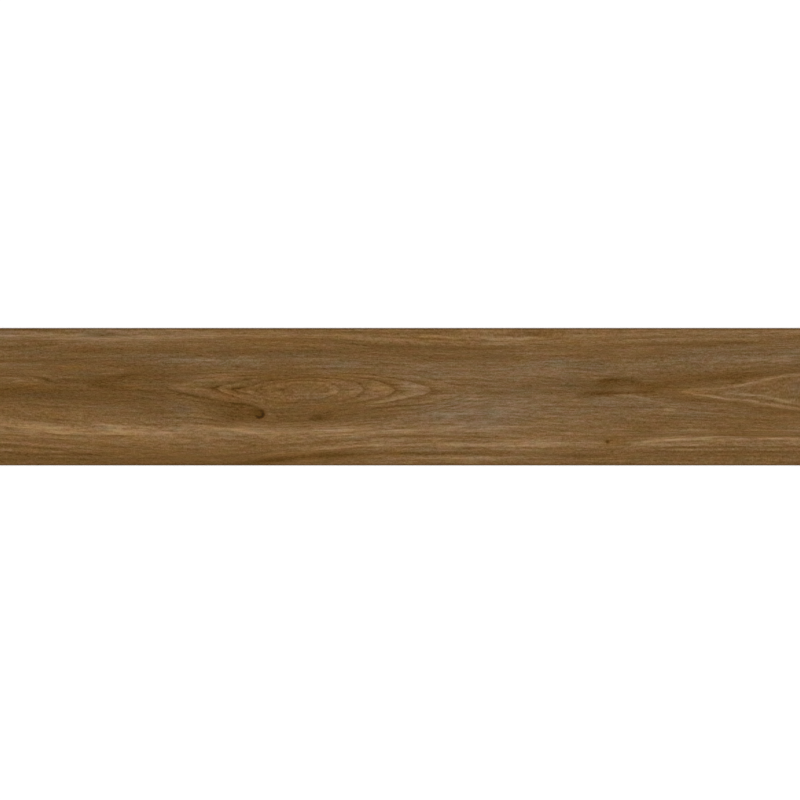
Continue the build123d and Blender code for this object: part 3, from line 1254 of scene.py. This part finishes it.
def streaks(g, along, across, noise):
    """One of the print's noises, about zero."""
    length, width, seed, detail = noise
    place = g.triple(g.math("DIVIDE", along, length), g.math("DIVIDE", across, width), seed)
    node = g.add("ShaderNodeTexNoise", {
        "Vector": place, "Scale": 1.0, "Detail": detail, "Roughness": NOISE_ROUGHNESS})
    return g.math("SUBTRACT", node.outputs["Fac"], NOISE_MEAN)


def ring_tone(g, ring, streak, wobble):
    """Tone of the growth rings: each grows paler outwards and ends in a thin dark line."""
    wobbly = g.math("MULTIPLY_ADD", wobble, RING_WOBBLE, ring)
    frayed = g.math("MULTIPLY_ADD", streak, RING_FRAY, wobbly)
    level = g.ramp(g.math("FRACT", frayed), [(place, (level,) * 3) for place, level in RING_TONES])
    return g.math("SUBTRACT", level, RING_LEVEL)


def knot_hook(g):
    """Darkness of the knot's hook: a ring, open on one side."""
    place = g.vector("MULTIPLY", place_on_tile(g), (1 / MM,) * 3)
    from_knot = g.vector("MULTIPLY", g.vector("SUBTRACT", place, KNOT_PLACE), KNOT_FLATTENING)
    off_line = g.math("ABSOLUTE", g.math("SUBTRACT", g.vector("LENGTH", from_knot), KNOT_RADIUS))
    turn = g.vector("DOT_PRODUCT", g.vector("NORMALIZE", from_knot), KNOT_CLOSED_SIDE)
    return g.math("MULTIPLY", g.rise(off_line, *KNOT_LINE), g.rise(turn, *KNOT_TURN))


def ink_colour(g, tone, finish):
    """Colour of the print at a tone."""
    colours = (finish.darkest, finish.dark, finish.brown, finish.pale, finish.palest)
    places = [(level - TONE_LOW) / (TONE_HIGH - TONE_LOW) for level in INK_TONES]
    return g.ramp(g.rise(tone, TONE_LOW, TONE_HIGH), list(zip(places, colours)))


def face_material(finish):
    """Printed wood grain under a matt glaze."""
    material, g, shader = new_material("printed_face")
    grain = g.add("ShaderNodeAttribute", attribute_name=GRAIN_LAYER)
    figure = g.add("ShaderNodeAttribute", attribute_name=FIGURE_LAYER)
    along, across, ring = g.parts(grain.outputs["Vector"])
    tone, warmth, ring_shown = g.parts(figure.outputs["Vector"])
    dots, fleck, pores, fibre, streak, band, wobble, clouds, mottle = (
        streaks(g, along, across, noise) for noise in (
            DOT_NOISE, FLECK_NOISE, PORE_NOISE, FIBRE_NOISE, STREAK_NOISE, BAND_NOISE, WOBBLE_NOISE,
            STAIN_NOISE, MOTTLE_NOISE))
    pore = g.rise(pores, *PORE_RANGE)

    # Tone of the print and of the painted edge shade: the drawn figure, broken up, and over it the knot,
    # the noises and the rings
    frayed = g.math("MULTIPLY_ADD", fibre, FIBRE_BREAKS, finish.figure)
    total = g.math("MULTIPLY", tone, g.math("MULTIPLY_ADD", streak, STREAK_BREAKS, frayed))
    rings = g.math("MULTIPLY", ring_tone(g, ring, streak, wobble), ring_shown)
    for part, strength in ((knot_hook(g), -finish.knot), (dots, finish.dots), (fleck, finish.fleck),
                           (fibre, finish.fibre), (streak, finish.streak), (band, finish.band),
                           (pore, -finish.pore), (rings, finish.ring)):
        total = g.math("MULTIPLY_ADD", part, strength, total)

    # Stains of the print, from grey violet to gold, and a fine red and green mottle
    stain = g.math("MULTIPLY_ADD", clouds, finish.stain, warmth)
    tint = (1.0, 1.0, 1.0)
    for amount, colour in ((stain, STAIN_TINT), (mottle, MOTTLE_TINT)):
        tint = g.vector("MULTIPLY_ADD", g.triple(amount, amount, amount), colour, tint)
    g.feed(shader["Base Color"], g.vector("MULTIPLY", ink_colour(g, total, finish), tint))

    shader["Specular IOR Level"].default_value = finish.specular
    rough = g.math("MULTIPLY_ADD", pore, PORE_ROUGHNESS, finish.roughness)
    g.feed(shader["Roughness"], g.math("MULTIPLY_ADD", fibre, FIBRE_ROUGHNESS, rough))
    height = g.math("MULTIPLY_ADD", pore, PORE_HEIGHT, g.math("MULTIPLY", fibre, FIBRE_HEIGHT))
    g.feed(shader["Normal"], bumped(g, height, GLAZE_BUMP))
    return material


def body_material(finish):
    """Bare stained porcelain, with kiln wash left on the ribs of the back."""
    material, g, shader = new_material("bare_body")
    place = place_on_tile(g)
    grains, clouds = (
        g.add("ShaderNodeTexNoise", {"Vector": place, "Scale": scale, "Detail": detail}).outputs["Fac"]
        for scale, detail in ((GRAIN_SCALE, GRAIN_DETAIL), (CLOUD_SCALE, CLOUD_DETAIL)))
    body = g.blend(g.rise(grains, *GRAIN_RANGE), (*finish.body, 1), (*finish.grain, 1))
    on_rib = g.rise(g.parts(place)[2], WASH_TOP, 0.0)
    wash = g.math("MULTIPLY", on_rib, g.math("MULTIPLY", g.rise(clouds, *WASH_RANGE), WASH_STRENGTH))
    g.feed(shader["Base Color"], g.blend(wash, body, (*finish.wash, 1)))
    smoothest = finish.roughness - CLOUD_ROUGHNESS / 2
    g.feed(shader["Roughness"], g.math("MULTIPLY_ADD", clouds, CLOUD_ROUGHNESS, smoothest))
    g.feed(shader["Normal"], bumped(g, grains, GRAIN_BUMP))
    return material


# Operators

class PLANKTILE_OT_tile(bpy.types.Operator):
    """Build the fired tile in place of its CAD node"""

    bl_idname = "plank_tile.build_tile"
    bl_label = "Build Tile"

    def execute(self, context):
        settings = context.scene.plank_tile
        tree = tile_tree(face_material(settings.face), body_material(settings.body))
        tile = fire_tile(TILE_PIECE, tree, settings.sizes)
        mesh = tile.data
        places = vertex_places(mesh)
        x, y = places[:, 0] / MM, places[:, 1] / MM
        ring, ring_shown = ring_place(x, y)
        write_vectors(mesh, GRAIN_LAYER, x, fibre_height(x, y), ring)
        write_vectors(mesh, FIGURE_LAYER, drawn_tone(x, y), drawn_warmth(x, y), ring_shown)
        press_grain(mesh, places, settings.sizes, settings.face.relief)
        lay_out_map(mesh, settings.sizes)
        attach(tile, TILE_BODY)
        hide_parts(TILE_NODE)
        return {"FINISHED"}


def seen_directly(g):
    """1 for rays that show a thing in the picture, by eye, mirror or glass; 0 for light."""
    path = g.add("ShaderNodeLightPath").outputs
    mirrored = g.math("MAXIMUM", path["Is Glossy Ray"], path["Is Transmission Ray"])
    return g.math("MAXIMUM", path["Is Camera Ray"], mirrored)


class PLANKTILE_OT_stage(bpy.types.Operator):
    """Build the floor, the light and the camera"""

    bl_idname = "plank_tile.build_stage"
    bl_label = "Build Stage"

    def execute(self, context):
        look = context.scene.plank_tile.stage
        scene = context.scene
        scene.view_settings.view_transform = "Standard"
        self.add_floor(scene, look)
        self.add_light(scene, look)
        self.add_camera(scene, look)
        return {"FINISHED"}

    def add_floor(self, scene, look):
        """Pale floor under the tile, lifted to white where it is seen in full light."""
        mesh = bpy.data.meshes.new("floor")
        half = look.floor_size / 2
        below = TILE_LOW.z - look.floor_gap
        corners = [(-half, -half, below), (half, -half, below), (half, half, below), (-half, half, below)]
        mesh.from_pydata(corners, [], [(0, 1, 2, 3)])
        floor = bpy.data.objects.new("floor", mesh)
        scene.collection.objects.link(floor)
        material, g, shader = new_material("floor")
        shader["Base Color"].default_value = (*look.floor, 1)
        shader["Roughness"].default_value = look.floor_roughness
        shader["Specular IOR Level"].default_value = 0.0
        shader["Emission Color"].default_value = (1, 1, 1, 1)
        g.feed(shader["Emission Strength"], g.math("MULTIPLY", seen_directly(g), look.floor_lift))
        mesh.materials.append(material)

    def add_light(self, scene, look):
        """White surroundings and two soft lamps in line with the plank."""
        world = bpy.data.worlds.new("studio")
        world.use_nodes = True
        world.node_tree.nodes.clear()
        g = Graph(world.node_tree)
        strength = g.add("ShaderNodeMapRange", {
            "Value": seen_directly(g), "To Min": look.ambient, "To Max": 1.0}).outputs[0]
        background = g.add("ShaderNodeBackground", {"Color": (1, 1, 1, 1), "Strength": strength})
        g.add("ShaderNodeOutputWorld", {"Surface": background.outputs[0]})
        scene.world = world
        for name, share, side in (("left_lamp", look.left, -1), ("right_lamp", look.right, 1)):
            lamp = bpy.data.lights.new(name, "SUN")
            lamp.angle = look.lamp_size
            lamp.energy = share * math.pi / math.sin(look.lamp_height)
            holder = bpy.data.objects.new(name, lamp)
            holder.rotation_euler = (0, side * (math.pi / 2 - look.lamp_height), 0)
            scene.collection.objects.link(holder)

    def add_camera(self, scene, look):
        """Camera straight above the face."""
        data = bpy.data.cameras.new("camera")
        data.lens = look.lens
        camera = bpy.data.objects.new("camera", data)
        rise = look.frame_width * look.lens / data.sensor_width
        camera.location = (0, -look.frame_drop, TILE_HIGH.z + rise)
        scene.collection.objects.link(camera)
        scene.camera = camera


class PLANKTILE_PT_panel(bpy.types.Panel):
    """Sidebar panel with the settings and the operators"""

    bl_idname = "PLANKTILE_PT_panel"
    bl_label = "Plank Tile"
    bl_space_type = "VIEW_3D"
    bl_region_type = "UI"
    bl_category = "Plank Tile"

    def draw(self, context):
        settings = context.scene.plank_tile
        for title, group in (("Tile", settings.sizes), ("Face", settings.face), ("Body", settings.body),
                             ("Stage", settings.stage)):
            column = self.layout.column(heading=title)
            for name in group.__annotations__:
                column.prop(group, name)
        self.layout.operator(PLANKTILE_OT_tile.bl_idname)
        self.layout.operator(PLANKTILE_OT_stage.bl_idname)


CLASSES = (TileSizes, FaceFinish, BodyFinish, StageLook, PlankTileSettings,
           PLANKTILE_OT_tile, PLANKTILE_OT_stage, PLANKTILE_PT_panel)


def register():
    for cls in CLASSES:
        bpy.utils.register_class(cls)
    bpy.types.Scene.plank_tile = PointerProperty(type=PlankTileSettings)


def unregister():
    del bpy.types.Scene.plank_tile
    for cls in reversed(CLASSES):
        bpy.utils.unregister_class(cls)


def main():
    register()
    bpy.ops.plank_tile.build_tile()
    bpy.ops.plank_tile.build_stage()


if __name__ == "__main__":
    main()
